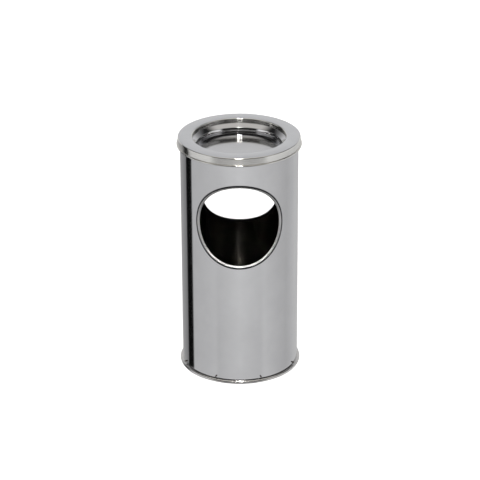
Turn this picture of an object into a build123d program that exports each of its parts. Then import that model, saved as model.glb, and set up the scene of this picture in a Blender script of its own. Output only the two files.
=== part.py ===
from build123d import *
from math import cos, pi, sin
import os

# Free-standing ash bin in stainless sheet: a rolled shell with a near-round throw-in
# hole front and rear, a riveted base, a loose ash dish and a loose lid ring.
# Millimetres, +Z up, front towards -Y, origin on the floor at the shell's axis.

# Driving dimensions
BODY_RADIUS = 120.0
HEIGHT = 502.0
SHEET = 0.8
FIT_GAP = 0.05                     # between sheets nested inside one another

# Lid ring
RING_OPENING_RADIUS = 95.3
RING_OUTER_RADIUS = 124.4
RING_LIP_DEPTH = 10.0
RING_SKIRT_DEPTH = 17.6            # down to the lower edge of the rolled bead
RING_SHOULDER = 1.8
RING_BEAD_RADIUS = 1.5

# Ash dish
DISH_DEPTH = 28.0                  # from the ring's top to the dish floor
DISH_FLANGE_RADIUS = 123.2
DISH_MOUTH_RADIUS = 94.9           # where the sloping shoulder starts
DISH_NECK_RADIUS = 86.9            # where the shoulder turns down into the wall
DISH_NECK_DEPTH = 17.2             # from the ring's top
DISH_WALL_RADIUS = 85.2
DISH_WALL_DEPTH = 22.5             # where the wall turns upright
DISH_FLOOR_BEND = 2.5
DISH_WALL_BEND = 12.0
DISH_GROOVE_RADIUS = 117.0
DISH_GROOVE_WIDTH = 2.0
DISH_GROOVE_DEPTH = 4.0
DISH_GROOVE_TAPER = 0.3
SMALL_BEND = 0.9

# Shell
HEM_HEIGHT = 10.0
SEAM_ANGLE = 14.0                  # from +X towards the rear
SEAM_SLIT = 0.4
SEAM_STRIP_ARC = 9.0               # degrees of the shell that the strip covers

# Throw-in holes and the rolled collars round their edges. A collar's middle line
# is an oval on the sheet, and its section is (outwards from the hole, out of the shell).
HOLE_HEIGHT = 350.6
OVAL_HALF_WIDTH = 93.0             # along the sheet
OVAL_HALF_HEIGHT = 88.2
HOLE_MARGIN = 2.3                  # from the middle line out to the shell's cut edge
COLLAR_LIP = (2.8, 0.47)
COLLAR_CREST = (-0.6, 0.47)
COLLAR_FOLD = (-4.15, -3.76)
COLLAR_TAIL = (3.0, -1.3)
COLLAR_FACE_BEND = 7.2
COLLAR_FOLD_BEND = 0.6
OUTLINE_POINTS = 24

# Base
BEAD_HEIGHT = 7.0
BEAD_RADIUS = 125.4
BEAD_BEND = 2.8
BASE_FLANGE_TOP = 24.0
FLOOR_TOP = 4.8
FLOOR_RIM_TOP = 20.0
FLOOR_BEND = 3.0

# Rivets
RIVET_COUNT = 8
RIVET_PHASE = 21.0                 # degrees, of the rivet nearest the front
RIVET_HEIGHT = 12.0
RIVET_SHANK_RADIUS = 1.1
RIVET_HEAD_RADIUS = 1.5
RIVET_HEAD_HEIGHT = 0.6
RIVET_HOLE_RADIUS = 1.2

# Worked out from the above
ring_lip_bottom = HEIGHT - RING_LIP_DEPTH
ring_bead_height = HEIGHT - RING_SKIRT_DEPTH + RING_BEAD_RADIUS
shell_top = ring_lip_bottom - SHEET
shell_inside = BODY_RADIUS - SHEET
base_flange_radius = shell_inside - FIT_GAP
base_flange_inside = base_flange_radius - SHEET
floor_rim_radius = base_flange_inside - FIT_GAP
floor_rim_inside = floor_rim_radius - SHEET
half_sheet = SHEET / 2
outline_turns = [2 * pi * number / OUTLINE_POINTS for number in range(OUTLINE_POINTS)]

os.makedirs("parts", exist_ok=True)


def write(piece, name):
    """Label a finished piece and write it to its own file."""
    piece.part.label = name
    export_step(piece.part, f"parts/{name}.step")


def oval(turn, margin=0.0):
    """A point of the oval on the flat sheet, or a margin outside it."""
    across, up = OVAL_HALF_WIDTH * sin(turn), OVAL_HALF_HEIGHT * cos(turn)
    lean = Vector(sin(turn) / OVAL_HALF_WIDTH, cos(turn) / OVAL_HALF_HEIGHT).normalized()
    return across + margin * lean.X, up + margin * lean.Y


def on_shell(reach, spot, facing):
    """A place on the flat sheet, measured from the hole's centre, rolled round the axis."""
    across, up = spot
    around = across / BODY_RADIUS
    return reach * sin(around), facing * reach * cos(around), HOLE_HEIGHT + up


def rivet_places(reach):
    """Planes facing outwards at each rivet, at a distance from the axis."""
    places = []
    for number in range(RIVET_COUNT):
        turn = 2 * pi * number / RIVET_COUNT + RIVET_PHASE * pi / 180
        outwards = Vector(sin(turn), -cos(turn), 0)
        origin = outwards * reach + Vector(0, 0, RIVET_HEIGHT)
        places.append(Plane(origin=origin, x_dir=(0, 0, 1), z_dir=outwards))
    return places


def drill_for_rivets():
    """Cut the rivet holes through the sheet being built."""
    with Locations(*rivet_places(BODY_RADIUS)):
        Cylinder(RIVET_HOLE_RADIUS, 10 * SHEET, mode=Mode.SUBTRACT)


# Shell: a rolled sheet whose top edge is hemmed inwards, whose ends meet at a
# slit, and which both throw-in holes are cut through.
with BuildPart() as body_shell:
    with BuildSketch(Plane.XY.offset(BEAD_HEIGHT)):
        Circle(BODY_RADIUS)
        Circle(shell_inside, mode=Mode.SUBTRACT)
    extrude(amount=shell_top - BEAD_HEIGHT)
    with BuildSketch(Plane.XY.offset(shell_top - HEM_HEIGHT)):
        Circle(shell_inside)
        Circle(shell_inside - SHEET, mode=Mode.SUBTRACT)
    extrude(amount=HEM_HEIGHT)
    with BuildSketch(Plane.XZ):
        with BuildLine():
            edge = [on_shell(BODY_RADIUS, oval(turn, HOLE_MARGIN), 1) for turn in outline_turns]
            Spline([(x, z) for x, _, z in edge], periodic=True)
        make_face()
    extrude(amount=BODY_RADIUS + SHEET, both=True, mode=Mode.SUBTRACT)
    drill_for_rivets()
    with BuildSketch(Plane.XY.rotated((0, 0, SEAM_ANGLE))):
        with Locations((BODY_RADIUS, 0)):
            Rectangle(10 * SHEET, SEAM_SLIT)
    extrude(amount=HEIGHT, mode=Mode.SUBTRACT)
write(body_shell, "body_shell")

# Seam strip: backs the slit from inside, between the base flange and the hem.
with BuildPart() as seam_strip:
    with BuildSketch(Plane.XZ.rotated((0, 0, SEAM_ANGLE - SEAM_STRIP_ARC / 2))):
        strip_bottom = BASE_FLANGE_TOP + SHEET
        strip_top = shell_top - HEM_HEIGHT - SHEET
        with Locations((shell_inside - FIT_GAP, strip_bottom)):
            Rectangle(SHEET, strip_top - strip_bottom, align=(Align.MAX, Align.MIN))
    revolve(axis=Axis.Z, revolution_arc=SEAM_STRIP_ARC)
write(seam_strip, "seam_strip")


def opening_trim(facing):
    """A collar rolled round the edge of one hole: its lip lies on the outside of
    the sheet, its face slopes in to a fold, and its tail comes back to the inside."""
    middle_line = [oval(turn) for turn in outline_turns]
    with BuildLine() as path:
        Spline([on_shell(BODY_RADIUS, spot, facing) for spot in middle_line], periodic=True)
    with BuildLine() as guide:
        Spline([on_shell(BODY_RADIUS + 15, spot, facing) for spot in middle_line], periodic=True)
    top = on_shell(BODY_RADIUS, middle_line[0], facing)
    with BuildPart() as trim:
        with BuildSketch(Plane(origin=top, x_dir=(0, 0, 1), z_dir=(-facing, 0, 0))):
            with BuildLine():
                FilletPolyline(
                    COLLAR_LIP,
                    COLLAR_CREST,
                    COLLAR_FOLD,
                    COLLAR_TAIL,
                    radius=[COLLAR_FACE_BEND, COLLAR_FOLD_BEND],
                )
            trace(line_width=SHEET)
        sweep(path=path.line, binormal=guide.line.edge())
    return trim


opening_trim_front = opening_trim(-1)
write(opening_trim_front, "opening_trim_front")
opening_trim_rear = opening_trim(1)
write(opening_trim_rear, "opening_trim_rear")

# Base ring: a flange inside the shell, rolled outwards under the shell's lower
# edge into the half-round bead that the bin stands on.
with BuildPart() as base_ring:
    with BuildSketch(Plane.XZ):
        with BuildLine():
            FilletPolyline(
                (base_flange_radius - half_sheet, BASE_FLANGE_TOP),
                (base_flange_radius - half_sheet, half_sheet),
                (BEAD_RADIUS - half_sheet, half_sheet),
                (BEAD_RADIUS - half_sheet, BEAD_HEIGHT - half_sheet),
                (base_flange_radius + FIT_GAP, BEAD_HEIGHT - half_sheet),
                radius=[1.2, BEAD_BEND, BEAD_BEND],
            )
        trace(line_width=SHEET)
    revolve(axis=Axis.Z)
    drill_for_rivets()
write(base_ring, "base_ring")

# Base floor: a shallow pressed pan held inside the base ring's flange.
with BuildPart() as base_floor:
    with BuildSketch(Plane.XZ):
        with BuildLine():
            FilletPolyline(
                (0, FLOOR_TOP - half_sheet),
                (floor_rim_radius - half_sheet, FLOOR_TOP - half_sheet),
                (floor_rim_radius - half_sheet, FLOOR_RIM_TOP),
                radius=FLOOR_BEND,
            )
        trace(line_width=SHEET)
    revolve(axis=Axis.Z)
    drill_for_rivets()
write(base_floor, "base_floor")

# Base rivets: a low head outside, a shank through the three sheets and a
# flattened tail inside.
with BuildPart() as base_rivets:
    with Locations(*rivet_places(BODY_RADIUS)):
        Cylinder(
            RIVET_HEAD_RADIUS,
            RIVET_HEAD_HEIGHT,
            align=(Align.CENTER, Align.CENTER, Align.MIN),
        )
        Cylinder(
            RIVET_SHANK_RADIUS,
            BODY_RADIUS - floor_rim_inside + SHEET,
            align=(Align.CENTER, Align.CENTER, Align.MAX),
        )
    with Locations(*rivet_places(floor_rim_inside - FIT_GAP)):
        Cylinder(
            RIVET_HEAD_RADIUS,
            RIVET_HEAD_HEIGHT,
            align=(Align.CENTER, Align.CENTER, Align.MAX),
        )
write(base_rivets, "base_rivets")

# Ash dish: a wide flange lies on the shell's top edge, with a pressed groove
# that drops inside the hem to centre it; a sloping shoulder leads down to a
# short wall and a flat floor.
flange_middle = ring_lip_bottom - half_sheet
groove_outside = DISH_GROOVE_RADIUS
groove_inside = DISH_GROOVE_RADIUS - DISH_GROOVE_WIDTH
groove_bottom = flange_middle - DISH_GROOVE_DEPTH
dish_floor = HEIGHT - DISH_DEPTH - half_sheet
with BuildPart() as ash_dish:
    with BuildSketch(Plane.XZ):
        with BuildLine():
            FilletPolyline(
                (DISH_FLANGE_RADIUS, flange_middle),
                (groove_outside + DISH_GROOVE_TAPER, flange_middle),
                (groove_outside, groove_bottom),
                (groove_inside, groove_bottom),
                (groove_inside - DISH_GROOVE_TAPER, flange_middle),
                (DISH_MOUTH_RADIUS, flange_middle),
                (DISH_NECK_RADIUS, HEIGHT - DISH_NECK_DEPTH),
                (DISH_WALL_RADIUS, HEIGHT - DISH_WALL_DEPTH),
                (DISH_WALL_RADIUS, dish_floor),
                (0, dish_floor),
                radius=[
                    SMALL_BEND,
                    SMALL_BEND,
                    SMALL_BEND,
                    SMALL_BEND,
                    SMALL_BEND,
                    SMALL_BEND,
                    DISH_WALL_BEND,
                    DISH_FLOOR_BEND,
                ],
            )
        trace(line_width=SHEET)
    revolve(axis=Axis.Z)
write(ash_dish, "ash_dish")

# Lid ring: inner lip, flat top and outer skirt in one pressing, with a bead
# rolled outwards round the foot of the skirt. The lip stands on the dish flange.
with BuildPart() as lid_ring:
    with BuildSketch(Plane.XZ):
        with BuildLine():
            FilletPolyline(
                (RING_OPENING_RADIUS + half_sheet, ring_lip_bottom),
                (RING_OPENING_RADIUS + half_sheet, HEIGHT - half_sheet),
                (RING_OUTER_RADIUS - half_sheet, HEIGHT - half_sheet),
                (RING_OUTER_RADIUS - half_sheet, ring_bead_height),
                radius=RING_SHOULDER,
            )
        trace(line_width=SHEET)
        with Locations((RING_OUTER_RADIUS + RING_BEAD_RADIUS - half_sheet, ring_bead_height)):
            Circle(RING_BEAD_RADIUS)
    revolve(axis=Axis.Z)
write(lid_ring, "lid_ring")
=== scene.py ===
"""Looks of the ash bin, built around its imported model. Metres, +Z up, front towards -Y."""

import math

import bpy
from mathutils import Matrix, Vector


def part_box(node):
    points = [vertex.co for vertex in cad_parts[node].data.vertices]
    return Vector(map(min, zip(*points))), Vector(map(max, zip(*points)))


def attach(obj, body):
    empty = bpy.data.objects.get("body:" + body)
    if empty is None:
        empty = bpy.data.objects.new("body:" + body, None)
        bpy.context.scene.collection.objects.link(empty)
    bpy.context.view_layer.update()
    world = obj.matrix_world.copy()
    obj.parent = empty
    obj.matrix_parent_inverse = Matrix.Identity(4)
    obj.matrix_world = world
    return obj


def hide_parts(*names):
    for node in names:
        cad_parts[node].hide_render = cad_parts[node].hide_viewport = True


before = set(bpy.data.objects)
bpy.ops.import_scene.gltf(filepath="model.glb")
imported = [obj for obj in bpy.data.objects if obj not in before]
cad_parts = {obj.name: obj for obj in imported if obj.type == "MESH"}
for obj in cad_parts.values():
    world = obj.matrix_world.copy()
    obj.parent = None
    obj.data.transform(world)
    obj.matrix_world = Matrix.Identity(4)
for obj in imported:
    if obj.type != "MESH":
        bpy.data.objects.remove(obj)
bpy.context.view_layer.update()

# Sizes read from the frame
shell_low, shell_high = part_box("body_shell")
ring_low, ring_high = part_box("lid_ring")
dish_low, dish_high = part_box("ash_dish")
_, base_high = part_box("base_ring")
trim_low, trim_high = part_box("opening_trim_front")
rivet_low, rivet_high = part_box("base_rivets")
SHELL_RADIUS = shell_high.x
HOLE_HEIGHT = (trim_low.z + trim_high.z) / 2
RING_TOP = ring_high.z

# Sizes of details, in metres
SHEET = 0.0008
HALF_SHEET = SHEET / 2
LIP_DEPTH = RING_TOP - dish_high.z
RING_OPENING = 0.0953
RING_OUTER = 0.1244
RING_SHOULDER = 0.0018
RING_BEAD = 0.0015
DISH_MOUTH = 0.0949
DISH_NECK = 0.0869
DISH_NECK_DEPTH = 0.0172
DISH_WALL = 0.0852
DISH_WALL_DEPTH = 0.0225
BASE_FLANGE = SHELL_RADIUS - SHEET - 0.00005
BEAD_HEIGHT = shell_low.z
OVAL_HALF_WIDTH = 0.0930
OVAL_HALF_HEIGHT = 0.0882
HOLE_MARGIN = 0.0023
FOLD_START = -0.0006
HEM_HEIGHT = 0.010
SEAM_ANGLE = math.radians(14)
SEAM_SLIT = 0.0004
SPIN_STEPS = 240
BEAD_STEPS = 28
COLLAR_STEPS = 224
RIVET_COUNT = 8
RIVET_PHASE = math.radians(21)
RIVET_HEAD = 0.0015
FLOOR_HALF = 7.0
SURROUND_RADIUS = 9.0


# ---------------------------------------------------------------- camera

def make_camera():
    """A long lens, high in front of the bin and a little to its right."""
    data = bpy.data.cameras.new("camera")
    data.lens = 157.88
    data.sensor_width = 36.0
    data.clip_end = 100.0
    camera = bpy.data.objects.new("camera", data)
    yaw = Matrix.Rotation(math.radians(0.2535), 4, "Z")
    pitch = Matrix.Rotation(math.radians(90 - 24.419), 4, "X")
    roll = Matrix.Rotation(math.radians(-0.235), 4, "Z")
    place = Matrix.Translation((0.01833, -3.9528, 2.0647))
    camera.matrix_world = place @ yaw @ pitch @ roll
    bpy.context.scene.collection.objects.link(camera)
    bpy.context.scene.camera = camera


# ---------------------------------------------------------------- mesh helpers

def new_piece(name, verts, faces, normals, body, nodes, materials, face_slots=None):
    """A mesh piece with exact normals that stands for CAD nodes and rides on a body."""
    mesh = bpy.data.meshes.new(name)
    mesh.from_pydata([tuple(v) for v in verts], [], faces)
    for material in materials:
        mesh.materials.append(material)
    if face_slots:
        mesh.polygons.foreach_set("material_index", face_slots)
    mesh.shade_smooth()
    mesh.normals_split_custom_set_from_vertices([tuple(n) for n in normals])
    mesh.update()
    piece = bpy.data.objects.new(name, mesh)
    bpy.context.scene.collection.objects.link(piece)
    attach(piece, body)
    if nodes:
        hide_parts(*nodes)
    return piece


def rounded_path(corners):
    """Points and left-hand normals along a path of (r, z, bend) corners with round bends."""
    points = []
    last = len(corners) - 1
    for number, (r, z, bend) in enumerate(corners):
        here = Vector((r, z))
        if number in (0, last):
            points.append(here)
            continue
        before = (Vector(corners[number - 1][:2]) - here).normalized()
        after = (Vector(corners[number + 1][:2]) - here).normalized()
        half = before.angle(after) / 2
        centre = here + (before + after).normalized() * (bend / math.sin(half))
        start = here + before * (bend / math.tan(half))
        end = here + after * (bend / math.tan(half))
        arm = start - centre
        turn = math.pi - 2 * half
        if arm.cross(end - centre) < 0:
            turn = -turn
        steps = max(4, round(abs(turn) / math.radians(7)))
        for step in range(steps + 1):
            angle = turn * step / steps
            cosine, sine = math.cos(angle), math.sin(angle)
            points.append(
                centre + Vector((arm.x * cosine - arm.y * sine, arm.x * sine + arm.y * cosine))
            )
    normals = []
    for number, point in enumerate(points):
        along = Vector((0, 0))
        if number:
            along += (point - points[number - 1]).normalized()
        if number < len(points) - 1:
            along += (points[number + 1] - point).normalized()
        along.normalize()
        normals.append(Vector((-along.y, along.x)))
    return points, normals


def cap(centre, start_normal, clockwise):
    """Half-round end of a sheet, from one face round to the other."""
    sign = -1 if clockwise else 1
    found = []
    for step in range(1, 6):
        angle = sign * math.pi * step / 6
        cosine, sine = math.cos(angle), math.sin(angle)
        x, y = start_normal
        normal = Vector((x * cosine - y * sine, x * sine + y * cosine))
        found.append((centre + normal * HALF_SHEET, normal))
    return found


def sheet_outline(corners, on_axis=True):
    """Closed outline of a sheet-metal section, as (point, normal) pairs.
    A spun section that ends on the axis is left open there."""
    points, normals = rounded_path(corners)
    one = [(p + n * HALF_SHEET, n) for p, n in zip(points, normals)]
    other = [(p - n * HALF_SHEET, -n) for p, n in zip(points, normals)]
    other.reverse()
    outline = one
    if not on_axis or corners[-1][0] > 0:
        outline = outline + cap(points[-1], normals[-1], True)
    outline = outline + other
    outline = outline + cap(points[0], -normals[0], True)
    return outline


def spin(outline, closed=True, steps=SPIN_STEPS):
    """Turn an outline of (point, normal) pairs round the Z axis."""
    verts, normals, faces, rows = [], [], [], []
    for point, normal in outline:
        if point.x < 1e-6:
            rows.append([len(verts)] * steps)
            verts.append((0, 0, point.y))
            normals.append((0, 0, 1 if normal.y > 0 else -1))
            continue
        rows.append(list(range(len(verts), len(verts) + steps)))
        for step in range(steps):
            angle = 2 * math.pi * step / steps
            cosine, sine = math.cos(angle), math.sin(angle)
            verts.append((point.x * cosine, point.x * sine, point.y))
            normals.append((normal.x * cosine, normal.x * sine, normal.y))
    pairs = list(zip(rows, rows[1:]))
    if closed:
        pairs.append((rows[-1], rows[0]))
    for row, following in pairs:
        if row[0] == row[1] and following[0] == following[1]:
            continue
        for step in range(steps):
            after = (step + 1) % steps
            face = (row[step], row[after], following[after], following[step])
            faces.append(tuple(dict.fromkeys(face)))
    return verts, faces, normals


def facing_out(verts, faces, normals):
    """Turn each face's corners round where it faces against its normals."""
    turned = []
    for face in faces:
        a, b, c = (Vector(verts[i]) for i in (face[0], face[1], face[2]))
        middle = sum((Vector(normals[i]) for i in face), Vector((0, 0, 0)))
        away = (b - a).cross(c - a)
        turned.append(face if away.dot(middle) > 0 else tuple(reversed(face)))
    return turned


# ---------------------------------------------------------------- shader helpers

class Graph:
    """Short calls for a node tree."""

    def __init__(self, tree):
        self.tree = tree

    def node(self, kind, **settings):
        made = self.tree.nodes.new(kind)
        for name, value in settings.items():
            setattr(made, name, value)
        return made

    def put(self, socket, value):
        if isinstance(value, bpy.types.NodeSocket):
            self.tree.links.new(value, socket)
        else:
            socket.default_value = value

    def math(self, operation, first, second=None, third=None):
        made = self.node("ShaderNodeMath", operation=operation)
        for socket, value in zip(made.inputs, (first, second, third)):
            if value is not None:
                self.put(socket, value)
        return made.outputs[0]

    def ramp(self, value, stops):
        made = self.node("ShaderNodeValToRGB")
        elements = made.color_ramp.elements
        while len(elements) < len(stops):
            elements.new(0.5)
        for element, (place, level) in zip(elements, stops):
            element.position = place
            element.color = (level, level, level, 1) if isinstance(level, float) else (*level, 1)
        self.put(made.inputs["Fac"], value)
        return made.outputs["Color"]

    def span(self, value, low, high, to_low=0.0, to_high=1.0):
        made = self.node("ShaderNodeMapRange", interpolation_type="SMOOTHSTEP")
        for name, given in (
            ("Value", value),
            ("From Min", low),
            ("From Max", high),
            ("To Min", to_low),
            ("To Max", to_high),
        ):
            self.put(made.inputs[name], given)
        return made.outputs["Result"]

    def mix(self, factor, first, second, blend="MIX"):
        made = self.node("ShaderNodeMix", data_type="RGBA", blend_type=blend)
        self.put(made.inputs["Factor"], factor)
        self.put(made.inputs["A"], first)
        self.put(made.inputs["B"], second)
        return made.outputs["Result"]

    def noise(self, vector, scale, detail=3.0, rough=0.5):
        made = self.node("ShaderNodeTexNoise")
        self.put(made.inputs["Vector"], vector)
        self.put(made.inputs["Scale"], scale)
        self.put(made.inputs["Detail"], detail)
        self.put(made.inputs["Roughness"], rough)
        return made.outputs["Fac"]

    def stretched(self, vector, scale):
        made = self.node("ShaderNodeMapping")
        self.put(made.inputs["Vector"], vector)
        made.inputs["Scale"].default_value = scale
        return made.outputs["Vector"]

    def bump(self, height, strength, distance, normal=None):
        made = self.node("ShaderNodeBump")
        self.put(made.inputs["Height"], height)
        self.put(made.inputs["Strength"], strength)
        self.put(made.inputs["Distance"], distance)
        if normal is not None:
            self.put(made.inputs["Normal"], normal)
        return made.outputs["Normal"]


def new_material(name):
    material = bpy.data.materials.new(name)
    material.use_nodes = True
    graph = Graph(material.node_tree)
    shader = material.node_tree.nodes["Principled BSDF"]
    shader.inputs["Metallic"].default_value = 1.0
    return material, graph, shader


def round_axis(graph):
    """Object coordinates, and the same as (angle, distance from the axis, height)."""
    place = graph.node("ShaderNodeTexCoord").outputs["Object"]
    parts = graph.node("ShaderNodeSeparateXYZ")
    graph.put(parts.inputs[0], place)
    x, y, z = parts.outputs
    angle = graph.math("ARCTAN2", y, x)
    squares = graph.math("ADD", graph.math("MULTIPLY", x, x), graph.math("MULTIPLY", y, y))
    reach = graph.math("SQRT", squares)
    joined = graph.node("ShaderNodeCombineXYZ")
    for socket, value in zip(joined.inputs, (angle, reach, z)):
        graph.put(socket, value)
    return place, joined.outputs[0]


# ---------------------------------------------------------------- materials

def polished_steel(name, color, roughness, waviness, grain):
    """Mirror-polished sheet: faint polishing lines, soft waves and light smears."""
    material, graph, shader = new_material(name)
    place, turned = round_axis(graph)
    lines = graph.noise(graph.stretched(turned, (6.0, 900.0, 900.0)), 1.0, 2.0)
    smears = graph.noise(place, 14.0, 4.0, 0.6)
    waves = graph.noise(graph.stretched(place, (1.0, 1.0, 0.35)), 9.0, 1.0)
    shade = graph.ramp(smears, [(0.35, color), (0.7, tuple(0.94 * c for c in color))])
    graph.put(shader.inputs["Base Color"], shade)
    spread = graph.math("MULTIPLY_ADD", smears, 0.06, roughness - 0.03)
    graph.put(shader.inputs["Roughness"], graph.math("MULTIPLY_ADD", lines, grain, spread))
    soft = graph.bump(waves, waviness, 0.001)
    graph.put(shader.inputs["Normal"], graph.bump(lines, 0.02, 0.0002, soft))
    return material


def brushed_steel(name, color, roughness):
    """Sheet grained round the axis: fine lines that smear reflections across them."""
    material, graph, shader = new_material(name)
    place, turned = round_axis(graph)
    fine = graph.noise(graph.stretched(turned, (5.0, 4200.0, 4200.0)), 1.0, 3.0, 0.7)
    coarse = graph.noise(graph.stretched(turned, (3.0, 900.0, 900.0)), 1.0, 2.0)
    smears = graph.noise(place, 18.0, 3.0)
    lines = graph.math("MULTIPLY_ADD", coarse, 0.5, fine)
    dark = tuple(0.86 * c for c in color)
    graph.put(shader.inputs["Base Color"], graph.ramp(lines, [(0.45, dark), (1.0, color)]))
    spread = graph.math("MULTIPLY_ADD", smears, 0.08, roughness - 0.04)
    graph.put(shader.inputs["Roughness"], spread)
    graph.put(shader.inputs["Normal"], graph.bump(lines, 0.12, 0.00012))
    shader.inputs["Anisotropic"].default_value = 1.0
    shader.inputs["Anisotropic Rotation"].default_value = 0.25
    tangent = graph.node("ShaderNodeTangent", direction_type="RADIAL", axis="Z")
    graph.put(shader.inputs["Tangent"], tangent.outputs[0])
    return material


def mill_sheet(name, color, roughness):
    """Unpolished inside sheet: cloudy, with drawn lines up and down."""
    material, graph, shader = new_material(name)
    place, turned = round_axis(graph)
    clouds = graph.noise(place, 22.0, 5.0, 0.6)
    drawn = graph.noise(graph.stretched(turned, (260.0, 40.0, 3.0)), 1.0, 3.0)
    dark = tuple(0.75 * c for c in color)
    graph.put(shader.inputs["Base Color"], graph.ramp(clouds, [(0.3, dark), (0.75, color)]))
    spread = graph.math("MULTIPLY_ADD", drawn, 0.12, roughness - 0.06)
    graph.put(shader.inputs["Roughness"], spread)
    graph.put(shader.inputs["Normal"], graph.bump(drawn, 0.05, 0.0003))
    return material


def stained_rivet(name):
    """Small dull heads with rust-brown stains round the edge."""
    material, graph, shader = new_material(name)
    place = graph.node("ShaderNodeTexCoord").outputs["Object"]
    specks = graph.noise(place, 900.0, 4.0, 0.7)
    color = graph.ramp(specks, [(0.3, (0.035, 0.024, 0.018)), (0.75, (0.16, 0.11, 0.08))])
    graph.put(shader.inputs["Base Color"], color)
    graph.put(shader.inputs["Roughness"], graph.span(specks, 0.2, 0.8, 0.45, 0.75))
    graph.put(shader.inputs["Normal"], graph.bump(specks, 0.3, 0.0002))
    shader.inputs["Metallic"].default_value = 0.6
    return material


STEEL = (0.76, 0.76, 0.775)
polished_shell = polished_steel("polished_shell", STEEL, 0.07, 0.10, 0.05)
polished_dish = polished_steel("polished_dish", (0.66, 0.66, 0.675), 0.07, 0.03, 0.03)
bright_bead = polished_steel("bright_bead", (0.78, 0.77, 0.76), 0.20, 0.02, 0.04)
# The collar's fold: near-white and rough, a painted highlight standing in for the fold's bright
# reflection.
bright_trim = polished_steel("bright_trim", (0.98, 0.98, 0.98), 0.48, 0.05, 0.03)
# The collar's outer half: near-black, a painted shade standing in for its dark reflection and the
# contact shadow against the sheet.
collar_painted_shade = polished_steel("collar_painted_shade", (0.06, 0.06, 0.064), 0.28, 0.05, 0.03)
# Grain and anisotropy are the ring's own brushing; the near-white base colour, far above the top
# face's, is painted brightness on the lip and skirt standing in for light.
brushed_ring = brushed_steel("brushed_ring", (0.93, 0.92, 0.895), 0.19)
ring_face = polished_steel("ring_face", (0.70, 0.705, 0.725), 0.12, 0.03, 0.05)
plain_sheet = mill_sheet("plain_sheet", (0.52, 0.52, 0.53), 0.32)
shell_inside = mill_sheet("shell_inside", (0.64, 0.62, 0.59), 0.115)
dark_rivet = stained_rivet("dark_rivet")


# ---------------------------------------------------------------- pieces

def make_lid_ring():
    """Inner lip, flat top and skirt in one pressing, with a round bead at its foot."""
    bead_height = ring_low.z + RING_BEAD
    bead_centre = Vector((ring_high.x - RING_BEAD, bead_height))
    corners = [
        (RING_OPENING + HALF_SHEET, RING_TOP - LIP_DEPTH + HALF_SHEET, 0),
        (RING_OPENING + HALF_SHEET, RING_TOP - HALF_SHEET, RING_SHOULDER),
        (RING_OUTER - HALF_SHEET, RING_TOP - HALF_SHEET, RING_SHOULDER),
        (RING_OUTER - HALF_SHEET, bead_height, 0),
    ]
    verts, faces, normals = spin(sheet_outline(corners))
    bead = []
    for step in range(BEAD_STEPS):
        angle = 2 * math.pi * step / BEAD_STEPS
        normal = Vector((math.cos(angle), math.sin(angle)))
        bead.append((bead_centre + normal * RING_BEAD, normal))
    more_verts, more_faces, more_normals = spin(bead)
    start = len(verts)
    verts += more_verts
    normals += more_normals
    faces += [tuple(i + start for i in face) for face in more_faces]
    faces = facing_out(verts, faces, normals)
    kinds = []
    for face in faces:
        upwards = sum(normals[index][2] for index in face) / len(face)
        lowest = min(verts[index][2] for index in face)
        kinds.append(1 if upwards > 0.9 and lowest > RING_TOP - RING_SHOULDER else 0)
    # The flat top takes the plain face; the lip, skirt and bead take the brushed material with its
    # painted brightness.
    new_piece(
        "lid_ring_pressing", verts, faces, normals, "ring",
        ["lid_ring"], [brushed_ring, ring_face], kinds,
    )


def make_ash_dish():
    """Flange with its locating groove, stepped wall and flat floor."""
    flange = dish_high.z - HALF_SHEET
    floor = dish_low.z + HALF_SHEET
    corners = [
        (dish_high.x - HALF_SHEET, flange, 0),
        (0.1173, flange, 0.0009),
        (0.1170, flange - 0.004, 0.0009),
        (0.1150, flange - 0.004, 0.0009),
        (0.1147, flange, 0.0009),
        (DISH_MOUTH, flange, 0.0009),
        (DISH_NECK, RING_TOP - DISH_NECK_DEPTH, 0.0009),
        (DISH_WALL, RING_TOP - DISH_WALL_DEPTH, 0.0120),
        (DISH_WALL, floor, 0.0006),
        (0, floor, 0),
    ]
    verts, faces, normals = spin(sheet_outline(corners), closed=True)
    faces = [face for face in faces if len(face) > 2]
    faces = facing_out(verts, faces, normals)
    new_piece(
        "ash_dish_pan", verts, faces, normals,
        "dish", ["ash_dish"], [polished_dish],
    )


def make_base_ring():
    """Flange inside the shell, rolled out into the bead that stands on the floor."""
    middle = BASE_FLANGE - HALF_SHEET
    corners = [
        (middle, base_high.z, 0),
        (middle, HALF_SHEET, 0.0012),
        (base_high.x - HALF_SHEET, HALF_SHEET, 0.0028),
        (base_high.x - HALF_SHEET, BEAD_HEIGHT - HALF_SHEET, 0.0028),
        (BASE_FLANGE + HALF_SHEET, BEAD_HEIGHT - HALF_SHEET, 0),
    ]
    verts, faces, normals = spin(sheet_outline(corners))
    faces = facing_out(verts, faces, normals)
    new_piece(
        "base_ring_bead", verts, faces, normals,
        "bin_body", ["base_ring"], [bright_bead],
    )


def oval(turn):
    """A point of a throw-in hole's oval on the flat sheet, and its outward lean there."""
    across, up = math.sin(turn), math.cos(turn)
    lean = Vector((across / OVAL_HALF_WIDTH, up / OVAL_HALF_HEIGHT)).normalized()
    return Vector((across * OVAL_HALF_WIDTH, up * OVAL_HALF_HEIGHT)), lean


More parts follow.
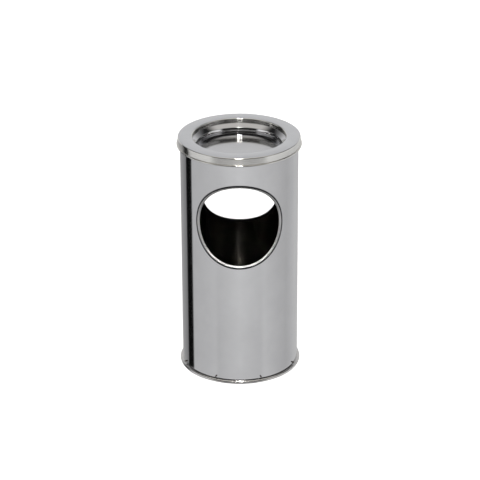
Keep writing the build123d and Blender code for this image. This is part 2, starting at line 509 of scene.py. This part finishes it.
def make_trim(name, facing):
    """A collar rolled round the edge of one hole, in section a sheet-metal hook.
    Its outer half is painted near-black, a painted shade for the dark reflection and contact shadow
    along the hole's edge; the fold that lines the hole is painted near-white and rough, a painted
    highlight for its bright reflection."""
    outline = sheet_outline([
        (0.0028, 0.00047, 0),
        (-0.0006, 0.00047, 0.0072),
        (-0.00415, -0.00376, 0.0006),
        (0.0030, -0.0013, 0),
    ], False)
    turns, sides = COLLAR_STEPS, len(outline)
    verts, normals, faces, kinds = [], [], [], []
    for number in range(turns):
        spot, lean = oval(2 * math.pi * number / turns)
        for point, normal in outline:
            across, up = spot + lean * point.x
            around = across / SHELL_RADIUS
            outwards = Vector((math.sin(around), facing * math.cos(around), 0))
            sideways = Vector((math.cos(around), -facing * math.sin(around), 0))
            verts.append(outwards * (SHELL_RADIUS + point.y) + Vector((0, 0, HOLE_HEIGHT + up)))
            away = sideways * lean.x + Vector((0, 0, lean.y))
            normals.append((away * normal.x + outwards * normal.y).normalized())
    for number in range(turns):
        following = (number + 1) % turns
        for side in range(sides):
            after = (side + 1) % sides
            faces.append((
                number * sides + side,
                number * sides + after,
                following * sides + after,
                following * sides + side,
            ))
            # The outer half takes the painted shade, the fold lining the hole takes the painted
            # highlight.
            kinds.append(1 if outline[side][0].x < FOLD_START else 0)
    faces = facing_out(verts, faces, normals)
    new_piece(
        name + "_collar", verts, faces, normals,
        "bin_body", [name], [collar_painted_shade, bright_trim], kinds,
    )


def make_shell():
    """Rolled sheet with two throw-in holes, a hem inside its top and an open seam."""
    patch_half = 0.102
    columns_per_patch = 48
    patch_turn = patch_half / SHELL_RADIUS
    step_turn = 2 * patch_turn / columns_per_patch
    slit = SEAM_SLIT / 2 / SHELL_RADIUS
    bottom, top = shell_low.z, shell_high.z
    hem_bottom = top - HEM_HEIGHT
    patch_bottom, patch_top = HOLE_HEIGHT - patch_half, HOLE_HEIGHT + patch_half
    step_height = (patch_top - patch_bottom) / columns_per_patch
    rings = [0.0, 0.1, 0.25, 0.45, 0.7, 1.0]

    verts, normals, faces, kinds = [], [], [], []
    known = {}

    def vertex(turn, height, reach, sense):
        """A vertex on a face of the sheet; sense is 1 outside and -1 inside."""
        key = (round(turn, 7), round(height, 7), round(reach, 7), sense)
        if key not in known:
            known[key] = len(verts)
            verts.append((reach * math.cos(turn), reach * math.sin(turn), height))
            normals.append((sense * math.cos(turn), sense * math.sin(turn), 0))
        return known[key]

    def spread(low, high, step):
        count = max(1, math.ceil(abs(high - low) / step - 1e-6))
        return [low + (high - low) * n / count for n in range(count + 1)]

    front, rear = -math.pi / 2, math.pi / 2
    plain_turns = [
        spread(SEAM_ANGLE + slit, rear - patch_turn, step_turn),
        spread(rear + patch_turn, front + 2 * math.pi - patch_turn, step_turn),
        spread(front + 2 * math.pi + patch_turn, SEAM_ANGLE + 2 * math.pi - slit, step_turn),
    ]
    patch_turns = [
        spread(middle - patch_turn, middle + patch_turn, step_turn)
        for middle in (rear, front + 2 * math.pi)
    ]
    patch_heights = spread(patch_bottom, patch_top, step_height)

    def lay(turns, heights, reach, sense, kind):
        for turn, next_turn in zip(turns, turns[1:]):
            for height, next_height in zip(heights, heights[1:]):
                faces.append((
                    vertex(turn, height, reach, sense),
                    vertex(next_turn, height, reach, sense),
                    vertex(next_turn, next_height, reach, sense),
                    vertex(turn, next_height, reach, sense),
                ))
                kinds.append(kind)

    def lay_patch(middle, turns, reach, sense, kind):
        """Rings of faces from the hole's edge out to the square patch round it."""
        edge = [(t, patch_bottom) for t in turns[:-1]]
        edge += [(turns[-1], h) for h in patch_heights[:-1]]
        edge += [(t, patch_top) for t in reversed(turns[1:])]
        edge += [(turns[0], h) for h in reversed(patch_heights[1:])]
        rows = []
        for turn, height in edge:
            along = (turn - middle) * SHELL_RADIUS
            rise = height - HOLE_HEIGHT
            spot, lean = oval(math.atan2(along / OVAL_HALF_WIDTH, rise / OVAL_HALF_HEIGHT))
            hole = spot + lean * HOLE_MARGIN
            row = []
            for share in rings:
                x = hole.x + (along - hole.x) * share
                y = hole.y + (rise - hole.y) * share
                if share == 1.0:
                    row.append(vertex(turn, height, reach, sense))
                else:
                    row.append(vertex(middle + x / SHELL_RADIUS, HOLE_HEIGHT + y, reach, sense))
            rows.append(row)
        for number, row in enumerate(rows):
            following = rows[(number + 1) % len(rows)]
            for ring in range(len(rings) - 1):
                faces.append((row[ring], row[ring + 1], following[ring + 1], following[ring]))
                kinds.append(kind)
        return [row[0] for row in rows]

    rims = {}
    for reach, sense, kind in (
        (SHELL_RADIUS, 1, 0),
        (SHELL_RADIUS - SHEET, -1, 1),
    ):
        for turns in plain_turns + patch_turns:
            lay(turns, spread(bottom, patch_bottom, 0.03), reach, sense, kind)
            upper = hem_bottom if sense < 0 else top
            lay(turns, spread(patch_top, upper, 0.02), reach, sense, kind)
        for turns in plain_turns:
            lay(turns, patch_heights, reach, sense, kind)
        for middle, turns in zip((rear, front + 2 * math.pi), patch_turns):
            rims[middle, sense] = lay_patch(middle, turns, reach, sense, kind)
    order = [plain_turns[0], patch_turns[0], plain_turns[1], patch_turns[1], plain_turns[2]]
    all_turns = [turn for turns in order for turn in turns[:-1]] + [order[-1][-1]]
    lay(all_turns, [hem_bottom, top], SHELL_RADIUS - 2 * SHEET, -1, 1)

    def edge_strip(turns, height, outer, inner, up):
        """A flat ring that closes the sheet's upper or lower edge."""
        for turn, next_turn in zip(turns, turns[1:]):
            corners = []
            for angle, reach in ((turn, outer), (next_turn, outer), (next_turn, inner), (turn, inner)):
                corners.append(len(verts))
                verts.append((reach * math.cos(angle), reach * math.sin(angle), height))
                normals.append((0, 0, up))
            faces.append(tuple(corners))
            kinds.append(0)

    edge_strip(all_turns, top, SHELL_RADIUS, SHELL_RADIUS - 2 * SHEET, 1)
    edge_strip(all_turns, bottom, SHELL_RADIUS, SHELL_RADIUS - SHEET, -1)
    edge_strip(all_turns, hem_bottom, SHELL_RADIUS - SHEET, SHELL_RADIUS - 2 * SHEET, -1)

    for middle in (rear, front + 2 * math.pi):
        outside, inside = rims[middle, 1], rims[middle, -1]
        facing = Vector((math.cos(middle), math.sin(middle), 0))
        for number in range(len(outside)):
            after = (number + 1) % len(outside)
            corners = []
            for index in (outside[number], outside[after], inside[after], inside[number]):
                point = Vector(verts[index])
                inwards = Vector((0, 0, HOLE_HEIGHT)) - point
                inwards -= facing * inwards.dot(facing)
                corners.append(len(verts))
                verts.append(tuple(point))
                normals.append(tuple(inwards.normalized()))
            faces.append(tuple(corners))
            kinds.append(0)

    for turn, way in ((all_turns[0], -1), (all_turns[-1], 1)):
        outwards = Vector((-math.sin(turn), math.cos(turn), 0)) * way
        for low, high, inner in (
            (bottom, hem_bottom, SHELL_RADIUS - SHEET),
            (hem_bottom, top, SHELL_RADIUS - 2 * SHEET),
        ):
            corners = []
            for reach, height in (
                (SHELL_RADIUS, low), (SHELL_RADIUS, high), (inner, high), (inner, low),
            ):
                corners.append(len(verts))
                verts.append((reach * math.cos(turn), reach * math.sin(turn), height))
                normals.append(tuple(outwards))
            faces.append(tuple(corners))
            kinds.append(0)

    faces = facing_out(verts, faces, normals)
    new_piece(
        "body_shell_sheet", verts, faces, normals, "bin_body",
        ["body_shell"], [polished_shell, shell_inside], kinds,
    )


def make_rivets():
    """Low domed heads round the foot of the shell, and flat tails inside."""
    rise = rivet_high.x - SHELL_RADIUS
    middle = (rivet_low.z + rivet_high.z) / 2
    verts, normals, faces = [], [], []
    for number in range(RIVET_COUNT):
        turn = 2 * math.pi * number / RIVET_COUNT + RIVET_PHASE
        outwards = Vector((math.sin(turn), -math.cos(turn), 0))
        sideways = Vector((math.cos(turn), math.sin(turn), 0))
        upwards = Vector((0, 0, 1))
        for way, start in ((1, SHELL_RADIUS), (-1, SHELL_RADIUS - 3 * SHEET - 0.00015)):
            rings = [(1.0, 0.0), (0.97, 0.5), (0.8, 0.82), (0.45, 0.97)]
            first = len(verts)
            for share, proud in rings:
                for side in range(20):
                    angle = 2 * math.pi * side / 20
                    out = sideways * math.cos(angle) + upwards * math.sin(angle)
                    place = outwards * (start + way * rise * proud)
                    place = place + out * RIVET_HEAD * share + upwards * middle
                    verts.append(place)
                    lean = (out * share * share + outwards * way * (0.1 + proud)).normalized()
                    normals.append(lean)
            for ring in range(len(rings) - 1):
                for side in range(20):
                    after = (side + 1) % 20
                    low, high = first + ring * 20, first + (ring + 1) * 20
                    faces.append((low + side, low + after, high + after, high + side))
            last = first + (len(rings) - 1) * 20
            faces.append(tuple(last + side for side in range(20)))
            faces.append(tuple(first + side for side in range(20)))
    faces = facing_out(verts, faces, normals)
    new_piece(
        "base_rivet_heads", verts, faces, normals,
        "bin_body", ["base_rivets"], [dark_rivet],
    )


# ---------------------------------------------------------------- studio

def make_backdrop():
    """A pale floor that shows only a soft contact shadow, and a white surround."""
    material = bpy.data.materials.new("floor")
    material.use_nodes = True
    tree = material.node_tree
    tree.nodes.clear()
    graph = Graph(tree)
    glow = graph.node("ShaderNodeEmission")
    glow.inputs["Strength"].default_value = 0.82
    matt = graph.node("ShaderNodeBsdfDiffuse")
    matt.inputs["Color"].default_value = (0.8, 0.8, 0.8, 1)
    both = graph.node("ShaderNodeAddShader")
    tree.links.new(glow.outputs[0], both.inputs[0])
    tree.links.new(matt.outputs[0], both.inputs[1])
    out = graph.node("ShaderNodeOutputMaterial")
    tree.links.new(both.outputs[0], out.inputs["Surface"])
    mesh = bpy.data.meshes.new("floor")
    mesh.from_pydata(
        [(x * FLOOR_HALF, y * FLOOR_HALF, 0) for x, y in ((-1, -1), (1, -1), (1, 1), (-1, 1))],
        [], [(0, 1, 2, 3)],
    )
    mesh.materials.append(material)
    floor = bpy.data.objects.new("floor", mesh)
    floor.visible_glossy = False
    bpy.context.scene.collection.objects.link(floor)

    white = bpy.data.materials.new("surround")
    white.use_nodes = True
    white.node_tree.nodes.clear()
    graph = Graph(white.node_tree)
    glow = graph.node("ShaderNodeEmission")
    glow.inputs["Strength"].default_value = 1.0
    out = graph.node("ShaderNodeOutputMaterial")
    white.node_tree.links.new(glow.outputs[0], out.inputs["Surface"])
    steps, rows = 48, 12
    verts, faces = [], []
    for row in range(rows + 1):
        rise = math.pi * (row / rows - 0.5)
        for step in range(steps):
            turn = 2 * math.pi * step / steps
            verts.append((
                SURROUND_RADIUS * math.cos(rise) * math.cos(turn),
                SURROUND_RADIUS * math.cos(rise) * math.sin(turn),
                SURROUND_RADIUS * math.sin(rise),
            ))
    for row in range(rows):
        for step in range(steps):
            after = (step + 1) % steps
            faces.append((
                row * steps + step, row * steps + after,
                (row + 1) * steps + after, (row + 1) * steps + step,
            ))
    mesh = bpy.data.meshes.new("surround")
    mesh.from_pydata(verts, [], faces)
    mesh.materials.append(white)
    surround = bpy.data.objects.new("surround", mesh)
    surround.visible_glossy = False
    surround.visible_diffuse = False
    surround.visible_shadow = False
    surround.visible_transmission = False
    bpy.context.scene.collection.objects.link(surround)


def around(degrees):
    """Azimuth from the front, positive to the bin's right, as a ramp position."""
    return (degrees + 180) / 360


def height(degrees):
    """Elevation as a ramp position."""
    return (degrees + 90) / 180


def make_world():
    """Soft studio: pale below and at the sides, dark high behind the camera with two
    narrow lamps there, a pale ceiling, and a dark upright screen on the left.
    The names low, high, dim and ceiling are bands of the surroundings by elevation."""
    world = bpy.data.worlds.new("studio")
    world.use_nodes = True
    tree = world.node_tree
    tree.nodes.clear()
    graph = Graph(tree)
    way = graph.node("ShaderNodeTexCoord").outputs["Generated"]
    parts = graph.node("ShaderNodeSeparateXYZ")
    graph.put(parts.inputs[0], way)
    x, y, z = parts.outputs
    azimuth = graph.math("ARCTAN2", x, graph.math("MULTIPLY", y, -1.0))
    azimuth = graph.math("MULTIPLY_ADD", azimuth, 0.5 / math.pi, 0.5)
    elevation = graph.math("ARCSINE", graph.math("MINIMUM", graph.math("MAXIMUM", z, -1.0), 1.0))
    elevation = graph.math("MULTIPLY_ADD", elevation, 1 / math.pi, 0.5)

    low_side = graph.ramp(azimuth, [
        (around(-180), 0.54),
        (around(-155), 0.37),
        (around(-128), 0.24),
        (around(-126), 0.004),
        (around(-107.5), 0.004),
        (around(-105.5), 0.53),
        (around(-80), 0.55),
        (around(-45), 0.60),
        (around(0), 0.73),
        (around(50), 0.62),
        (around(105), 0.49),
        (around(140), 0.58),
        (around(180), 0.50),
    ])
    from_front = graph.math("ABSOLUTE", graph.math("SUBTRACT", azimuth, 0.5))
    beside = graph.span(from_front, 40 / 360, 52 / 360)
    front_fall = graph.ramp(elevation, [
        (height(-90), 0.004),
        (height(-42), 0.01),
        (height(-36), 0.10),
        (height(-31), 0.84),
        (height(-22), 1.0),
        (height(-17), 1.04),
    ])
    low = graph.mix(1.0, low_side, graph.mix(beside, front_fall, (1, 1, 1, 1)), "MULTIPLY")
    high = graph.ramp(azimuth, [
        (around(-180), 0.74),
        (around(-128), 0.62),
        (around(-126), 0.004),
        (around(-107.5), 0.004),
        (around(-105.5), 0.98),
        (around(-55), 0.98),
        (around(-45), 0.02),
        (around(45), 0.02),
        (around(55), 0.98),
        (around(110), 0.98),
        (around(125), 0.62),
        (around(180), 0.74),
    ])
    dim = graph.ramp(azimuth, [
        (around(-180), 0.74),
        (around(-150), 0.66),
        (around(-122), 0.03),
        (around(122), 0.03),
        (around(150), 0.66),
        (around(180), 0.74),
    ])
    high = graph.mix(graph.span(elevation, height(13), height(19)), high, dim)
    fade = graph.ramp(elevation, [(height(18), 1.0), (height(25), 0.86), (height(32), 0.68)])
    high = graph.mix(1.0, high, fade, "MULTIPLY")
    level = graph.mix(graph.span(elevation, height(-16), height(-9)), low, high)
    ceiling = graph.span(elevation, height(44), height(60))
    level = graph.mix(ceiling, level, (0.70, 0.68, 0.64, 1))

    lamps = None
    for middle, half_width in ((2.5, 2.2), (-6.0, 0.9)):
        from_middle = graph.math("ABSOLUTE", graph.math("SUBTRACT", azimuth, around(middle)))
        lamp = graph.math("LESS_THAN", from_middle, half_width / 360)
        lamps = lamp if lamps is None else graph.math("ADD", lamps, lamp)
    above = graph.math("GREATER_THAN", elevation, height(36))
    below = graph.math("LESS_THAN", elevation, height(58))
    lamps = graph.math("MULTIPLY", lamps, graph.math("MULTIPLY", above, below))
    lamps = graph.math("MULTIPLY", lamps, 28.0)

    room = graph.node("ShaderNodeBackground")
    graph.put(room.inputs["Color"], level)
    lit = graph.node("ShaderNodeBackground")
    lit.inputs["Color"].default_value = (1, 0.985, 0.95, 1)
    graph.put(lit.inputs["Strength"], lamps)
    both = graph.node("ShaderNodeAddShader")
    tree.links.new(room.outputs[0], both.inputs[0])
    tree.links.new(lit.outputs[0], both.inputs[1])
    out = graph.node("ShaderNodeOutputWorld")
    tree.links.new(both.outputs[0], out.inputs["Surface"])
    bpy.context.scene.world = world


# ---------------------------------------------------------------- the scene

make_camera()
make_shell()
make_trim("opening_trim_front", -1)
make_trim("opening_trim_rear", 1)
make_base_ring()
make_rivets()
make_ash_dish()
make_lid_ring()
for node_name in ("base_floor", "seam_strip"):
    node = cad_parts[node_name]
    node.data.materials.clear()
    node.data.materials.append(plain_sheet)
make_backdrop()
make_world()
bpy.context.scene.view_settings.view_transform = "Standard"
